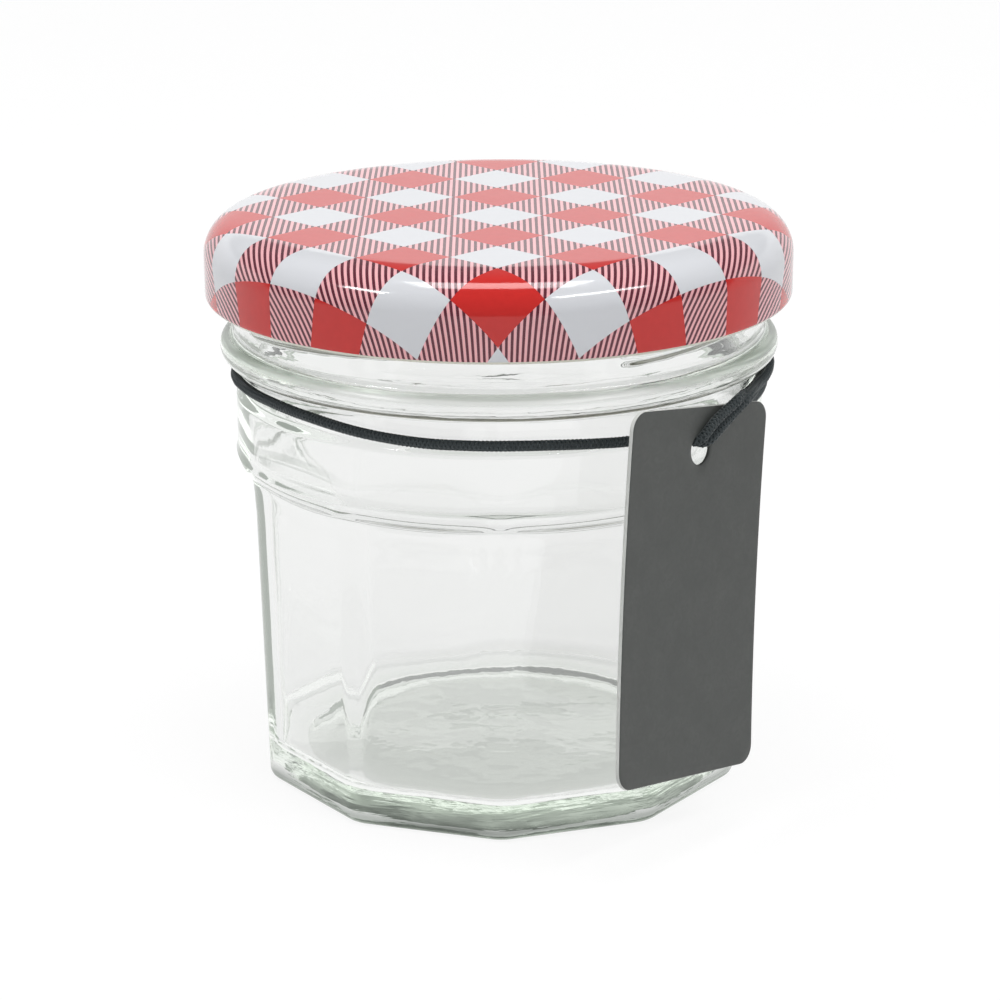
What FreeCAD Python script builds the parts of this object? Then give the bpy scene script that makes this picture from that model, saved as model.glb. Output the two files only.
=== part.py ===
import FreeCAD, Part
import math
import os

from FreeCAD import Vector

# A small ten-sided jam jar with a 70 mm twist-off lid, an elastic cord round its
# neck and a card tag on the cord.  Millimetres, +Z up.  The origin is the centre of
# the ring that the jar stands on; -Y is the side with a corner of the jar in front.

# ---------------------------------------------------------------- driving dimensions
SIDES = 10                  # facets of the body
FACET_DRAFT = 0.025         # the body widens by this much for each mm of height
BASE_CIRCUMRADIUS = 31.1    # axis to a sharp corner of the body, at the table
CORNER_RADIUS = 5.0         # rounding of the upright corners, outside
HEEL_RADIUS = 1.3           # rounding between a facet and the base
WALL = 2.2                  # glass thickness of the body
FLOOR = 3.8                 # glass thickness of the base
INNER_CORNER_RADIUS = 8.0   # rounding of the upright corners, inside
INNER_HEEL_RADIUS = 3.2     # rounding between wall and floor, inside

PUNT_RADIUS = 24.0          # hollow under the base, inside the standing ring
PUNT_DEPTH = 0.9
PUNT_FLAT_RADIUS = 18.0     # flat middle of that hollow
DIMPLE_RADIUS = 4.2         # round mark in the middle of the base
DIMPLE_DEPTH = 0.25

FACET_TOP_Z = 41.0          # the facets end under the round shoulder band
BAND_RADIUS = 33.05         # round band above the facets
BAND_LOW_Z = 42.4           # where the band starts to turn in, towards the facets
LEDGE_Z = 39.6              # lower edge of the band
LEDGE_RADIUS = 31.9
GROOVE_RADIUS = 32.35       # the narrowest place, where the cord sits
GROOVE_LOW_Z = 50.3         # the band's upper lip rounds over up to here
BEAD_RADIUS = 34.9          # transfer bead under the lid
BEAD_Z = 55.65
BEAD_HALF_HEIGHT = 1.55
NECK_RADIUS = 33.2          # finish above the bead, where the lid screws on
BORE_RADIUS = 30.5          # mouth
BORE_LOW_Z = 43.4           # the bore widens out of the facetted cavity up to here
RIM_Z = 70.35               # sealing rim
RIM_ROUNDING = 1.15

LID_RADIUS = 36.6           # outside of the skirt
LID_TOP_Z = 71.8
LID_BOTTOM_Z = 61.6
LID_SHEET = 0.3             # lacquered tinplate
LID_FLAT_RADIUS = 29.8      # flat middle of the top
LID_SLOPE_RADIUS = 14.0     # slow curve outside the flat
LID_SLOPE_TURN = 14.0       # degrees that the slow curve turns through
CURL_RADIUS = 0.8           # rolled lower edge
LUGS = 4
LUG_WIDTH = 9.0
LUG_REACH = 1.3             # how far a lug reaches in from the rolled edge
LUG_HEIGHT = 1.1
GASKET_INNER_RADIUS = 31.0
GASKET_OUTER_RADIUS = 34.2

CORD_DIAMETER = 1.05
CORD_CLEARANCE = 0.02       # left between the cord and what it lies on
CORD_Z = 51.4               # the loop round the neck
NECK_KNOT_AZIMUTH = 118.0   # degrees from the front, towards +X
NECK_KNOT_CORE = 1.35       # radius of the core that the knot's turns lie round
NECK_KNOT_TILT = 28.0       # degrees between each of its two turns and the groove's direction
TAG_KNOT_CORE = 0.95
KNOT_TURN_RADIUS = 1.2      # middle line of a turn
TAG_KNOT_OFFSET = (-0.3, 3.6)        # from the hole, across and up the back of the card
STRAND_PITCH = 1.07         # middle to middle of the two strands to the tag
STRAND_AZIMUTHS = (107.0, 96.0, 85.0)    # corner points along the groove, above the loop
STRAND_STANDOFF = 0.27      # those points stand off the groove, as the arcs cut corners
STRAND_START_Z = 52.75      # where the strands come out of the neck's knot
STRAND_EXIT = (69.0, 34.7, 52.7)     # azimuth, radius and z where they leave the groove
STRAND_OVER_EDGE = (8.3, 1.1)        # across, and above the card's top edge
STRAND_ON_CARD = (5.0, -1.7)         # the same for where they come down on its face
STRAND_LIFT = 0.5           # off the card's face where the strands pass its top edge
STRAND_SPREAD = 0.7         # part of the pitch that is left where they run down the card

CARD_WIDTH = 26.3
CARD_HEIGHT = 44.5
CARD_THICKNESS = 0.5
CARD_CORNER_RADIUS = 2.2
CARD_HOLE_RADIUS = 1.85
CARD_HOLE = (0.7, 17.05)    # from the middle of the card, across and up
CARD_BOW_RADIUS = 560.0     # the card is bent a little, its middle towards the jar
CARD_CENTRE = Vector(22.7, -31.0, 32.0)
CARD_FACING = 50.0          # degrees from the front, towards +X
CARD_LEAN = 4.6             # degrees, top towards the jar
CARD_ROLL = -9.1            # degrees, in the card's own plane


# ---------------------------------------------------------------------- small helpers
def arc(start, middle, end):
    """A round edge through three points."""
    return Part.Arc(start, middle, end).toShape()


def line(start, end):
    """A straight edge."""
    return Part.LineSegment(start, end).toShape()


def profile_point(radius, z):
    """A point of a turned profile, in the plane y = 0."""
    return Vector(radius, 0, z)


def arc_about(centre, radius, start_deg, end_deg):
    """Arc of a turned profile about a centre; degrees from the radial direction up."""
    points = []
    for degrees in (start_deg, (start_deg + end_deg) / 2, end_deg):
        turn = math.radians(degrees)
        points.append(centre + Vector(radius * math.cos(turn), 0, radius * math.sin(turn)))
    return arc(*points)


def turned(edges):
    """A closed profile in the plane y = 0, turned once round the Z axis."""
    face = Part.Face(Part.Wire(Part.__sortEdges__(edges)))
    return face.revolve(Vector(0, 0, 0), Vector(0, 0, 1), 360)


def polar(azimuth_deg, radius, z):
    """A point round the jar; azimuth 0 is the front, -Y, and 90 is +X."""
    turn = math.radians(azimuth_deg)
    return Vector(radius * math.sin(turn), -radius * math.cos(turn), z)


def knot(core_radius, turn_axes, centre):
    """Tight turns of the cord about its own core."""
    lump = Part.makeSphere(core_radius, centre)
    for axis in turn_axes:
        lump = lump.fuse(Part.makeTorus(KNOT_TURN_RADIUS, CORD_DIAMETER / 2, centre, axis))
    return lump


def rounded_decagon(circumradius, corner_radius, z):
    """The body's outline at one height: straight facets joined by round corners."""
    half_turn = math.pi / SIDES
    tangent = corner_radius * math.tan(half_turn)
    centre_distance = circumradius - corner_radius / math.cos(half_turn)
    corners = []
    for index in range(SIDES):
        azimuth = index * 360 / SIDES
        corner = polar(azimuth, circumradius, z)
        before = polar(azimuth - 360 / SIDES, circumradius, z)
        after = polar(azimuth + 360 / SIDES, circumradius, z)
        start = corner + (before - corner).normalize() * tangent
        end = corner + (after - corner).normalize() * tangent
        corners.append((start, polar(azimuth, centre_distance + corner_radius, z), end))
    edges = []
    for index, (start, middle, end) in enumerate(corners):
        edges.append(arc(start, middle, end))
        edges.append(line(end, corners[(index + 1) % SIDES][0]))
    return Part.Wire(edges)


def facetted_block(inset, corner_radius, low_z, high_z):
    """The drafted ten-sided body, its facets moved in by inset."""
    outlines = []
    for z in (low_z, high_z):
        circumradius = BASE_CIRCUMRADIUS + FACET_DRAFT * z - inset / math.cos(math.pi / SIDES)
        outlines.append(rounded_decagon(circumradius, corner_radius, z))
    return Part.makeLoft(outlines, True, True)


def edges_at_height(shape, z):
    """The edges that lie in one level plane."""
    return [edge for edge in shape.Edges
            if abs(edge.BoundBox.ZMin - z) < 1e-4 and abs(edge.BoundBox.ZMax - z) < 1e-4]


# ---------------------------------------------------------------------- the glass jar
def bead_edge():
    """The bead's round section, from its lower to its upper root."""
    root_low = profile_point(NECK_RADIUS, BEAD_Z - BEAD_HALF_HEIGHT)
    root_high = profile_point(NECK_RADIUS, BEAD_Z + BEAD_HALF_HEIGHT)
    return arc(root_low, profile_point(BEAD_RADIUS, BEAD_Z), root_high)


def upper_outside():
    """Band, cord groove, bead and finish, turned as one solid."""
    bead_root = profile_point(NECK_RADIUS, BEAD_Z - BEAD_HALF_HEIGHT)
    groove_top = profile_point(GROOVE_RADIUS, BEAD_Z - BEAD_HALF_HEIGHT)
    band_turn = (BAND_LOW_Z - LEDGE_Z) / 2
    band_middle = profile_point(BAND_RADIUS - (BAND_RADIUS - LEDGE_RADIUS) / 4, LEDGE_Z + band_turn)
    lip_radius = BAND_RADIUS - GROOVE_RADIUS
    lip_centre = profile_point(GROOVE_RADIUS, GROOVE_LOW_Z - lip_radius)
    ledge_foot = profile_point(LEDGE_RADIUS - 2 * WALL, LEDGE_Z - WALL)
    rim_centre_out = profile_point(NECK_RADIUS - RIM_ROUNDING, RIM_Z - RIM_ROUNDING)
    edges = [
        line(profile_point(0, LEDGE_Z - WALL), ledge_foot),
        line(ledge_foot, profile_point(LEDGE_RADIUS, LEDGE_Z)),
        arc(profile_point(LEDGE_RADIUS, LEDGE_Z), band_middle, profile_point(BAND_RADIUS, BAND_LOW_Z)),
        line(profile_point(BAND_RADIUS, BAND_LOW_Z), profile_point(BAND_RADIUS, lip_centre.z)),
        arc_about(lip_centre, lip_radius, 0, 90),
        line(profile_point(GROOVE_RADIUS, GROOVE_LOW_Z), groove_top),
        line(groove_top, bead_root),
        bead_edge(),
        line(profile_point(NECK_RADIUS, BEAD_Z + BEAD_HALF_HEIGHT),
             profile_point(NECK_RADIUS, RIM_Z - RIM_ROUNDING)),
        arc_about(rim_centre_out, RIM_ROUNDING, 0, 90),
        line(profile_point(NECK_RADIUS - RIM_ROUNDING, RIM_Z), profile_point(0, RIM_Z)),
        line(profile_point(0, RIM_Z), profile_point(0, LEDGE_Z - WALL)),
    ]
    return turned(edges)


def cavity():
    """The room inside the jar: facetted below, a round bore above."""
    lower = facetted_block(WALL, INNER_CORNER_RADIUS, FLOOR, FACET_TOP_Z)
    lower = lower.makeFillet(INNER_HEEL_RADIUS, edges_at_height(lower, FLOOR))
    narrow = BORE_RADIUS - WALL
    flare_low = BORE_LOW_Z - 2 * WALL
    above = RIM_Z + WALL
    rim_top = profile_point(BORE_RADIUS + RIM_ROUNDING, RIM_Z)
    edges = [
        line(profile_point(0, flare_low), profile_point(narrow, flare_low)),
        line(profile_point(narrow, flare_low), profile_point(BORE_RADIUS, BORE_LOW_Z)),
        line(profile_point(BORE_RADIUS, BORE_LOW_Z), profile_point(BORE_RADIUS, RIM_Z - RIM_ROUNDING)),
        arc_about(profile_point(BORE_RADIUS + RIM_ROUNDING, RIM_Z - RIM_ROUNDING), RIM_ROUNDING, 180, 90),
        line(rim_top, profile_point(BORE_RADIUS + RIM_ROUNDING, above)),
        line(profile_point(BORE_RADIUS + RIM_ROUNDING, above), profile_point(0, above)),
        line(profile_point(0, above), profile_point(0, flare_low)),
    ]
    return lower.fuse(turned(edges))


def punt():
    """The hollow under the base, with its round mark in the middle."""
    slope_middle = profile_point((PUNT_RADIUS + PUNT_FLAT_RADIUS) / 2 + PUNT_DEPTH / 3, PUNT_DEPTH * 0.6)
    dome = turned([
        line(profile_point(0, 0), profile_point(PUNT_RADIUS, 0)),
        arc(profile_point(PUNT_RADIUS, 0), slope_middle, profile_point(PUNT_FLAT_RADIUS, PUNT_DEPTH)),
        line(profile_point(PUNT_FLAT_RADIUS, PUNT_DEPTH), profile_point(0, PUNT_DEPTH)),
        line(profile_point(0, PUNT_DEPTH), profile_point(0, 0)),
    ])
    dimple = Part.makeCylinder(DIMPLE_RADIUS, PUNT_DEPTH + DIMPLE_DEPTH)
    return dome.fuse(dimple)


def glass_jar():
    """The whole jar in one piece of glass."""
    body = facetted_block(0, CORNER_RADIUS, 0, FACET_TOP_Z)
    body = body.makeFillet(HEEL_RADIUS, edges_at_height(body, 0))
    jar = body.fuse(upper_outside())
    return jar.cut(cavity()).cut(punt()).removeSplitter()


# --------------------------------------------------------------------- lid and gasket
def lid_outline(inset):
    """The lid's outer line, moved in by inset, from the axis to the skirt's foot."""
    turn = math.radians(LID_SLOPE_TURN)
    top = profile_point(0, LID_TOP_Z - inset)
    flat_end = profile_point(LID_FLAT_RADIUS, LID_TOP_Z - inset)
    slope_centre = profile_point(LID_FLAT_RADIUS, LID_TOP_Z - LID_SLOPE_RADIUS)
    slope = arc_about(slope_centre, LID_SLOPE_RADIUS - inset, 90, 90 - LID_SLOPE_TURN)
    slope_reach = LID_FLAT_RADIUS + LID_SLOPE_RADIUS * math.sin(turn)
    shoulder_radius = (LID_RADIUS - slope_reach) / (1 - math.sin(turn))
    gap = LID_SLOPE_RADIUS - shoulder_radius
    shoulder_centre = slope_centre + Vector(gap * math.sin(turn), 0, gap * math.cos(turn))
    shoulder = arc_about(shoulder_centre, shoulder_radius - inset, 90 - LID_SLOPE_TURN, 0)
    skirt_top = profile_point(LID_RADIUS - inset, shoulder_centre.z)
    skirt_foot = profile_point(LID_RADIUS - inset, LID_BOTTOM_Z + CURL_RADIUS)
    return [line(top, flat_end), slope, shoulder, line(skirt_top, skirt_foot)]


def lid_filled(inset):
    """The solid under the lid's outer line, down to the middle of the rolled edge."""
    foot_z = LID_BOTTOM_Z + CURL_RADIUS
    edges = lid_outline(inset)
    edges.append(line(profile_point(LID_RADIUS - inset, foot_z), profile_point(0, foot_z)))
    edges.append(line(profile_point(0, foot_z), profile_point(0, LID_TOP_Z - inset)))
    return turned(edges)


def lug(azimuth_deg):
    """One tab of the rolled edge, bent in to catch the glass thread."""
    curl_inside = LID_RADIUS - 2 * CURL_RADIUS
    outer = curl_inside + CURL_RADIUS
    inner = curl_inside - LUG_REACH
    low_z = LID_BOTTOM_Z + CURL_RADIUS - LUG_HEIGHT / 2
    ring = Part.makeCylinder(outer, LUG_HEIGHT, Vector(0, 0, low_z))
    ring = ring.cut(Part.makeCylinder(inner, LUG_HEIGHT, Vector(0, 0, low_z)))
    block = Part.makeBox(LUG_WIDTH, outer, LUG_HEIGHT, Vector(-LUG_WIDTH / 2, -outer, low_z))
    tab = ring.common(block)
    tab.rotate(Vector(0, 0, 0), Vector(0, 0, 1), azimuth_deg)
    return tab


def lid():
    """Drawn tinplate lid: flat top, soft shoulder, skirt, rolled edge and lugs."""
    shell = lid_filled(0).cut(lid_filled(LID_SHEET))
    curl = Part.makeTorus(LID_RADIUS - CURL_RADIUS, CURL_RADIUS, Vector(0, 0, LID_BOTTOM_Z + CURL_RADIUS))
    shell = shell.fuse(curl)
    for index in range(LUGS):
        shell = shell.fuse(lug(45 + index * 360 / LUGS))
    return shell.removeSplitter()


def lid_gasket():
    """Sealing compound between the lid's channel and the rim of the glass."""
    height = LID_TOP_Z - RIM_Z
    ring = Part.makeCylinder(GASKET_OUTER_RADIUS, height, Vector(0, 0, RIM_Z))
    ring = ring.cut(Part.makeCylinder(GASKET_INNER_RADIUS, height, Vector(0, 0, RIM_Z)))
    return ring.common(lid_filled(LID_SHEET))


# ----------------------------------------------------------------------- card and cord
def card_axes():
    """The card's own directions: across, up and out of its face."""
    facing = math.radians(CARD_FACING)
    lean = math.radians(CARD_LEAN)
    roll = math.radians(CARD_ROLL)
    level = Vector(math.cos(facing), math.sin(facing), 0)
    outward = Vector(math.sin(facing), -math.cos(facing), 0)
    upward = Vector(0, 0, math.cos(lean)) - outward * math.sin(lean)
    across = level * math.cos(roll) + upward * math.sin(roll)
    up = upward * math.cos(roll) - level * math.sin(roll)
    return across, up, across.cross(up)


def card_point(across, up, out):
    """A point given on the bowed card: across, up and out from its middle layer."""
    x_axis, y_axis, z_axis = card_axes()
    bow = up * up / (2 * CARD_BOW_RADIUS)
    return CARD_CENTRE + x_axis * across + y_axis * up + z_axis * (out + bow)


def bowed_sheet():
    """A sheet wider than the card, curved about a level line in front of its face."""
    reach = CARD_HEIGHT / 2 + CARD_CORNER_RADIUS
    lines = []
    for offset in (-CARD_THICKNESS / 2, CARD_THICKNESS / 2):
        radius = CARD_BOW_RADIUS - offset
        rise = CARD_BOW_RADIUS - math.sqrt(radius * radius - reach * reach)
        ends = [Vector(0, -reach, rise), Vector(0, reach, rise)]
        lines.append((ends[0], Vector(0, 0, offset), ends[1]))
    back, front = lines
    wire = Part.Wire([arc(*back), line(back[2], front[2]), arc(*reversed(front)), line(front[0], back[0])])
    sheet = Part.Face(wire).extrude(Vector(CARD_WIDTH * 1.5, 0, 0))
    sheet.translate(Vector(-CARD_WIDTH * 0.75, 0, 0))
    return sheet


def hang_tag():
    """The card: rounded corners, punched hole, a slight bow."""
    depth = 4 * CARD_CORNER_RADIUS
    corner = Vector(-CARD_WIDTH / 2, -CARD_HEIGHT / 2, -depth / 2)
    blank = Part.makeBox(CARD_WIDTH, CARD_HEIGHT, depth, corner)
    upright = [edge for edge in blank.Edges if edge.BoundBox.ZLength > depth / 2]
    blank = blank.makeFillet(CARD_CORNER_RADIUS, upright)
    hole = Part.makeCylinder(CARD_HOLE_RADIUS, depth, Vector(CARD_HOLE[0], CARD_HOLE[1], -depth / 2))
    card = bowed_sheet().common(blank.cut(hole))
    card.Placement = FreeCAD.Placement(CARD_CENTRE, FreeCAD.Rotation(*card_axes(), "ZXY"))
    return card


def strand_route(side):
    """Corner points of one strand, from the neck's knot over the card to the tag's knot."""
    half = side * STRAND_PITCH / 2
    close = STRAND_SPREAD * half
    radius = GROOVE_RADIUS + CORD_DIAMETER / 2 + STRAND_STANDOFF
    on_face = (CARD_THICKNESS + CORD_DIAMETER) / 2 + CORD_CLEARANCE
    hole_x, hole_y = CARD_HOLE
    top = CARD_HEIGHT / 2
    exit_azimuth, exit_radius, exit_z = STRAND_EXIT
    points = [polar(NECK_KNOT_AZIMUTH, radius, STRAND_START_Z + close)]
    for azimuth in STRAND_AZIMUTHS:
        points.append(polar(azimuth, radius, CORD_Z + 1.5 * STRAND_PITCH + half))
    points.append(polar(exit_azimuth, exit_radius, exit_z + half))
    over_x, over_y = STRAND_OVER_EDGE
    points.append(card_point(over_x - close, top + over_y + close, on_face + STRAND_LIFT))
    down_x, down_y = STRAND_ON_CARD
    points.append(card_point(down_x - close, top + down_y + close, on_face))
    into_hole = card_point(hole_x + STRAND_LIFT - close, hole_y + STRAND_LIFT + close, on_face)
    points.append(into_hole + card_axes()[2] * STRAND_LIFT / 2)
    points.append(card_point(hole_x - close, hole_y + close, behind_card()))
    knot_x, knot_y = tag_knot_place()
    points.append(card_point(knot_x - close, knot_y + close, behind_card()))
    return points


def behind_card():
    """How far behind the card's middle layer the tag's knot and the strands to it lie."""
    return -CARD_THICKNESS / 2 - TAG_KNOT_CORE - CORD_CLEARANCE


def tag_knot_place():
    """Across and up on the card, where the tag's knot sits behind it."""
    return CARD_HOLE[0] + TAG_KNOT_OFFSET[0], CARD_HOLE[1] + TAG_KNOT_OFFSET[1]


def rounded_path(points):
    """Straight runs joined by tangent arcs, each as large as its two runs allow."""
    edges = []
    radii = []
    start = points[0]
    for before, corner, after in zip(points, points[1:], points[2:]):
        back = before - corner
        ahead = after - corner
        shorter = min(back.Length, ahead.Length)
        back.normalize()
        ahead.normalize()
        turn = math.pi - back.getAngle(ahead)
        reach = 0.45 * shorter
        radius = reach / math.tan(turn / 2)
        bisector = (back + ahead).normalize()
        middle = corner + bisector * (radius / math.cos(turn / 2) - radius)
        edges.append(line(start, corner + back * reach))
        edges.append(arc(corner + back * reach, middle, corner + ahead * reach))
        start = corner + ahead * reach
        radii.append(radius)
    edges.append(line(start, points[-1]))
    return Part.Wire(edges), radii


def strand(side):
    """One of the two strands from the neck to the tag."""
    path, radii = rounded_path(strand_route(side))
    print("strand", side, "length", round(path.Length, 2), "radii", [round(radius, 2) for radius in radii])
    start = path.Vertexes[0].Point
    direction = strand_route(side)[1] - start
    circle = Part.makeCircle(CORD_DIAMETER / 2, start, direction)
    tube = path.makePipeShell([Part.Wire(circle)], True, False)
    section = math.pi * CORD_DIAMETER ** 2 / 4
    print("  volume over section times length", round(tube.Volume / (section * path.Length), 4))
    return tube


def neck_string():
    """The elastic cord: a loop in the groove, a knot, two strands and the tag's knot."""
    loop_radius = GROOVE_RADIUS + CORD_DIAMETER / 2 + CORD_CLEARANCE
    loop = Part.makeTorus(loop_radius, CORD_DIAMETER / 2, Vector(0, 0, CORD_Z))
    knot_radius = GROOVE_RADIUS + KNOT_TURN_RADIUS + CORD_DIAMETER / 2 + 2 * CORD_CLEARANCE
    knot_centre = polar(NECK_KNOT_AZIMUTH, knot_radius, (CORD_Z + STRAND_START_Z) / 2)
    tilt = math.radians(NECK_KNOT_TILT)
    along = polar(NECK_KNOT_AZIMUTH + 90, math.cos(tilt), 0)
    upward = Vector(0, 0, math.sin(tilt))
    neck_knot = knot(NECK_KNOT_CORE, (along + upward, along - upward), knot_centre)
    tag_knot = knot(TAG_KNOT_CORE, card_axes()[2:], card_point(*tag_knot_place(), behind_card()))
    cord = loop.fuse(neck_knot)
    for side in (1, -1):
        cord = cord.fuse(strand(side))
    return cord.fuse(tag_knot).removeSplitter()


# ------------------------------------------------------------------------------ output
NODES = {
    "glass_jar": glass_jar,
    "lid": lid,
    "lid_gasket": lid_gasket,
    "neck_string": neck_string,
    "hang_tag": hang_tag,
}


def main():
    os.makedirs("parts", exist_ok=True)
    for name, build in NODES.items():
        shape = build()
        solid = shape.Solids[0]
        box = solid.BoundBox
        print(name, "solids", len(shape.Solids), "valid", solid.isValid(), "closed", solid.isClosed(),
              "mm3", round(solid.Volume, 1), "z", round(box.ZMin, 2), round(box.ZMax, 2))
        solid.exportStep("parts/" + name + ".step")


main()
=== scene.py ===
# %% [markdown]
# # A small glass jar with a checked lid and a tag on a cord
# The real thing is a moulded glass jar with ten flat sides, a pressed tin lid printed
# with a red and white check, a thin elastic cord round the neck, and a card on the cord.
# Its solids come packed as a frame, in metres, so every piece here is made to that frame.
# The lid's size and the height of the jar's rim are read back from it, so both stay in step.

# %% Load the frame
import math

import bpy
import numpy as np
from mathutils import Matrix, Vector


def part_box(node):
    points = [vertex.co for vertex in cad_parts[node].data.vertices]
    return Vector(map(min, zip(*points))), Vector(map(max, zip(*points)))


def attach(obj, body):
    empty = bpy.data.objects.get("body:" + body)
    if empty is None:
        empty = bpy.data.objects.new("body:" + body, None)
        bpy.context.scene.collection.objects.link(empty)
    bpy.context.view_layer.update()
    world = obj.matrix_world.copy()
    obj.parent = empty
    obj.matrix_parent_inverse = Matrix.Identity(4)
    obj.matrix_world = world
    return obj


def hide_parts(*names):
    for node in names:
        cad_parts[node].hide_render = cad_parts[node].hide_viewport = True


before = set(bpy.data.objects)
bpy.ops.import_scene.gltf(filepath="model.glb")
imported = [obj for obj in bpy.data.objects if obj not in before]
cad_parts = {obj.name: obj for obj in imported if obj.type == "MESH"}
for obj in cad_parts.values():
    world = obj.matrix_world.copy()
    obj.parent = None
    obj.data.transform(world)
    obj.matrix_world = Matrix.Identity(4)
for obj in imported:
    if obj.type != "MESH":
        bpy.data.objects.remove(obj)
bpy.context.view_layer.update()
MM = 0.001
glass_low, glass_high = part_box("glass_jar")
lid_low, lid_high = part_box("lid")
print("nodes", sorted(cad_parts))
print("jar from", round(glass_low.z / MM, 2), "to", round(glass_high.z / MM, 2), "mm")
print("lid from", round(lid_low.z / MM, 2), "to", round(lid_high.z / MM, 2), "mm")

# %% [markdown]
# ## Camera
# The camera comes first, because every later choice is judged through it.  A long lens
# from a little under half a metre keeps the sides of the jar almost parallel, and the
# camera looks down at it, so that the lid shows as a flat oval.

# %% Camera
CAMERA_PLACE = Vector((0.0, -0.3943, 0.1584))
CAMERA_DOWN = math.radians(17.505)
CAMERA_ROLL = math.radians(-0.33)
CAMERA_LENS = 116.7

camera_data = bpy.data.cameras.new("camera")
camera_data.lens = CAMERA_LENS
camera_data.sensor_width = 36.0
camera_data.clip_start = 0.01
camera = bpy.data.objects.new("camera", camera_data)
tilt = Matrix.Rotation(math.pi / 2 - CAMERA_DOWN, 4, "X")
roll = Matrix.Rotation(CAMERA_ROLL, 4, "Z")
camera.matrix_world = Matrix.Translation(CAMERA_PLACE) @ tilt @ roll
bpy.context.scene.collection.objects.link(camera)
bpy.context.scene.camera = camera
bpy.context.scene.view_settings.view_transform = "Standard"
print("camera", [round(value, 3) for value in CAMERA_PLACE], "lens", CAMERA_LENS)

# %% [markdown]
# ## Small tools for meshes
# Nearly every piece of this jar is a sheet of points laid out in rows and columns: the
# glass, the lid and the card.  One helper joins such a grid into faces, closes it round
# the axis and puts a cap on each end, so each piece only has to say where its points go.


# %% Mesh tools
def make_object(name, points, faces, materials, smooth=True):
    """A mesh object at the origin, with its materials."""
    mesh = bpy.data.meshes.new(name)
    mesh.from_pydata([tuple(point) for point in points], [], faces)
    for material in materials:
        mesh.materials.append(material)
    if smooth:
        mesh.shade_smooth()
    piece = bpy.data.objects.new(name, mesh)
    bpy.context.scene.collection.objects.link(piece)
    return piece


def grid_faces(rows, columns, closed_rows=False):
    """Four-sided faces of a grid whose columns run right round."""
    faces = []
    last = rows if closed_rows else rows - 1
    for row in range(last):
        above = (row + 1) % rows
        for column in range(columns):
            beside = (column + 1) % columns
            faces.append((row * columns + column, row * columns + beside,
                          above * columns + beside, above * columns + column))
    return faces


def capped_grid(grid, first_pole, last_pole):
    """Points and faces of a grid closed at both ends by a middle point."""
    rows, columns, _ = grid.shape
    points = [Vector(point) for point in grid.reshape(-1, 3)]
    faces = grid_faces(rows, columns)
    first = len(points)
    points += [Vector(first_pole), Vector(last_pole)]
    top = (rows - 1) * columns
    for column in range(columns):
        beside = (column + 1) % columns
        faces.append((first, beside, column))
        faces.append((first + 1, top + column, top + beside))
    return points, faces


def count(piece):
    """Print how many triangles a piece has."""
    piece.data.calc_loop_triangles()
    print(piece.name, "triangles", len(piece.data.loop_triangles))


def around(azimuths, radius, z):
    """Points round the jar: azimuth 0 is the front, and 90 degrees is the right side."""
    z = np.broadcast_to(z, azimuths.shape)
    return np.stack([radius * np.sin(azimuths), -radius * np.cos(azimuths), z], axis=1)


def smooth_step(low, high, value):
    """0 below low, 1 above high, and a soft S between them."""
    t = np.clip((value - low) / (high - low), 0, 1)
    return t * t * (3 - 2 * t)


def arc(centre, radius, start_deg, end_deg, steps):
    """Points of an arc in the (radius, z) plane."""
    turns = np.radians(np.linspace(start_deg, end_deg, steps))
    return [(centre[0] + radius * math.cos(turn), centre[1] + radius * math.sin(turn)) for turn in turns]


# %% [markdown]
# ## Small tools for materials
# A finish is a Principled shader with something feeding its colour, its gloss and its
# small relief.  The helpers keep the node code short: they add a node and join it up, do
# one sum, mix two colours, make noise, and turn a height into relief.  Most finishes here
# are one noise that drives both the colour and the relief, so one helper joins those up.


# %% Material tools
def new_material(name):
    """A material with a plain Principled shader; returns it, its node tree and the shader."""
    material = bpy.data.materials.new(name)
    material.use_nodes = True
    tree = material.node_tree
    return material, tree, tree.nodes["Principled BSDF"]


def join(tree, node, links):
    """Set a node's inputs: a socket is linked, anything else is a plain value."""
    for key, source in links.items():
        if hasattr(source, "is_output"):
            tree.links.new(source, node.inputs[key])
        else:
            node.inputs[key].default_value = source
    return node


def add_node(tree, kind, links=None, **values):
    """Add a node; links feeds its inputs, values sets its properties."""
    node = tree.nodes.new(kind)
    for key, value in values.items():
        setattr(node, key, value)
    return join(tree, node, links or {})


def math_node(tree, operation, first, second=0.0):
    """One sum in a node tree; returns its output socket."""
    return add_node(tree, "ShaderNodeMath", {0: first, 1: second}, operation=operation).outputs[0]


def vector_node(tree, operation, links):
    """One vector sum in a node tree; returns its output socket."""
    return add_node(tree, "ShaderNodeVectorMath", links, operation=operation).outputs[0]


def as_colour(colour):
    """A socket as it is, or (red, green, blue) with full cover."""
    return colour if hasattr(colour, "is_output") else (*colour, 1)


def mix_colour(tree, share, first, second):
    """A colour that goes from first at share 0 to second at share 1."""
    colours = {0: share, 6: as_colour(first), 7: as_colour(second)}
    return add_node(tree, "ShaderNodeMix", colours, data_type="RGBA").outputs[2]


def noise(tree, place, scale, detail):
    """Noise between 0 and 1 at a place."""
    return add_node(tree, "ShaderNodeTexNoise",
                    {"Vector": place, "Scale": scale, "Detail": detail}).outputs["Fac"]


def relief(tree, height, strength, distance, **under):
    """Small relief from a height; Normal may name a relief that it lies on."""
    return add_node(tree, "ShaderNodeBump",
                    {"Height": height, "Strength": strength, "Distance": distance, **under}).outputs[0]


def object_place(tree):
    """The place on the object, which needs no map."""
    return add_node(tree, "ShaderNodeTexCoord").outputs["Object"]


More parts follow.
